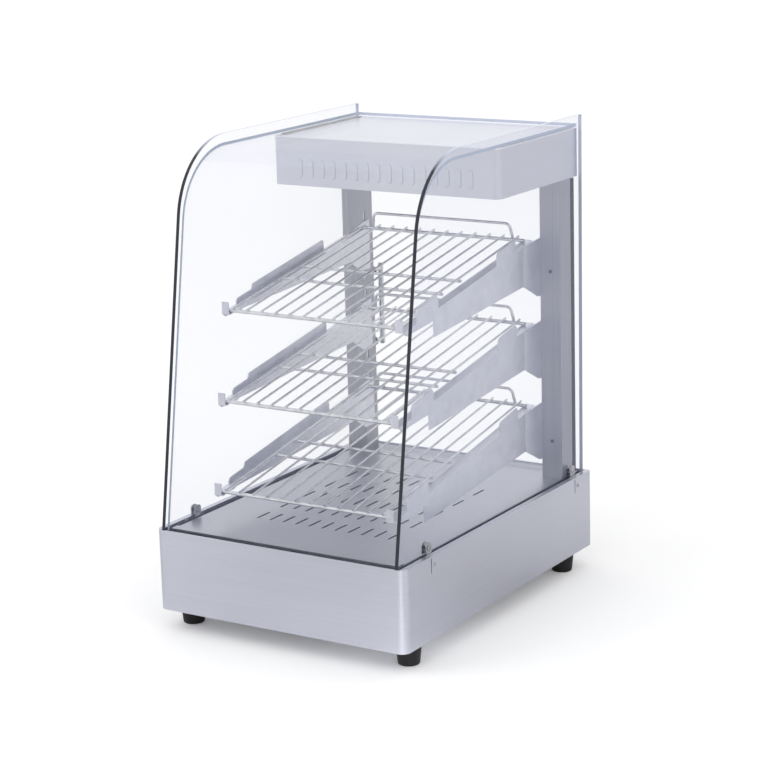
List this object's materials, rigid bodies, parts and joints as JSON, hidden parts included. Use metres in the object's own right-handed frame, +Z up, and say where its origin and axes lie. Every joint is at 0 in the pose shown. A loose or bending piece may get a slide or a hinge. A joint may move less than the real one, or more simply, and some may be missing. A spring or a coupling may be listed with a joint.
{
  "type": "heated display case",
  "caption": "Countertop heated display case with a stainless base, curved front glass, three sloping wire shelves, a lamp header and a hinged rear glass door.",
  "frame": {"origin": "on the supporting surface under the middle of the overall box, 9.7 mm behind the middle of the base", "axes": "+Z up, +X to the customer's right, -Y towards the customer"},
  "size_m": [0.382, 0.5194, 0.634],
  "materials": {
    "brushed_steel": "brushed stainless steel, fine grain along each panel",
    "bracket_steel": "plain rolled stainless sheet",
    "plain_steel": "dull rolled sheet",
    "rack_chrome": "bright plated wire",
    "clear_glass": "clear float glass with polished edges",
    "black_rubber": "matte black rubber",
    "black_plastic": "matte black plastic",
    "black_frame": "satin black profile",
    "screw_steel": "bright steel",
    "red_plastic": "clear red plastic",
    "heater_metal": "heat-tinted steel tube",
    "grey_plastic": "grey moulded plastic",
    "frosted_cover": "frosted translucent plastic",
    "porcelain": "glazed ceramic",
    "bulb_glass": "clear bulb glass"
  },
  "bodies": {
    "case": {"base_shell": "brushed_steel", "base_rear_panel": "brushed_steel", "deck_plate": "brushed_steel", "header_shell": "brushed_steel", "header_top_cover": "brushed_steel", "post_left": "brushed_steel", "post_right": "brushed_steel", "bracket_left_top": "bracket_steel", "bracket_left_middle": "bracket_steel", "bracket_left_bottom": "bracket_steel", "bracket_right_top": "bracket_steel", "bracket_right_middle": "bracket_steel", "bracket_right_bottom": "bracket_steel", "base_bottom_plate": "plain_steel", "deck_rail_left": "plain_steel", "deck_rail_right": "plain_steel", "deck_rail_front": "plain_steel", "heat_reflector": "plain_steel", "heater_brackets": "plain_steel", "header_bottom_panel": "plain_steel", "side_glass_left": "clear_glass", "side_glass_right": "clear_glass", "front_glass": "clear_glass", "foot_front_left": "black_rubber", "foot_front_right": "black_rubber", "foot_rear_left": "black_rubber", "foot_rear_right": "black_rubber", "side_channel_left": "black_rubber", "side_channel_right": "black_rubber", "front_channel": "black_rubber", "power_switch_body": "black_plastic", "cable_gland": "black_plastic", "door_catch": "black_plastic", "panel_screws": "screw_steel", "foot_screws": "screw_steel", "post_screws": "screw_steel", "clip_screws": "screw_steel", "glass_clips": "screw_steel", "indicator_lamp": "red_plastic", "heating_element": "heater_metal", "thermostat_bulb": "heater_metal", "thermostat_body": "grey_plastic", "terminal_block": "grey_plastic", "roof_seal": "grey_plastic", "lamp_cover": "frosted_cover", "lamp_socket": "porcelain", "lamp": "bulb_glass"},
    "door": {"door_glass": "clear_glass", "door_stile": "black_frame", "door_handle": "screw_steel"},
    "knob": {"thermostat_knob": "black_plastic"},
    "rocker": {"power_rocker": "red_plastic"},
    "top_rack": {"rack_top": "rack_chrome"},
    "middle_rack": {"rack_middle": "rack_chrome"},
    "bottom_rack": {"rack_bottom": "rack_chrome"}
  },
  "joints": [
    {"name": "door_hinge", "type": "hinge", "parent": "case", "child": "door", "pos_m": [0.169, 0.2243, 0.3], "axis": [0, 0, -1], "range_deg": [0, 100]},
    {"name": "thermostat_turn", "type": "hinge", "parent": "case", "child": "knob", "pos_m": [-0.12, 0.2403, 0.084], "axis": [0, -1, 0], "range_deg": [0, 270]},
    {"name": "power_tilt", "type": "hinge", "parent": "case", "child": "rocker", "pos_m": [-0.062, 0.2373, 0.084], "axis": [-1, 0, 0], "range_deg": [0, 24]},
    {"name": "top_rack_lift", "type": "slide", "parent": "case", "child": "top_rack", "axis": [0, 0, 1], "range_m": [0, 0.03]},
    {"name": "middle_rack_lift", "type": "slide", "parent": "case", "child": "middle_rack", "axis": [0, 0, 1], "range_m": [0, 0.03]},
    {"name": "bottom_rack_lift", "type": "slide", "parent": "case", "child": "bottom_rack", "axis": [0, 0, 1], "range_m": [0, 0.03]}
  ]
}
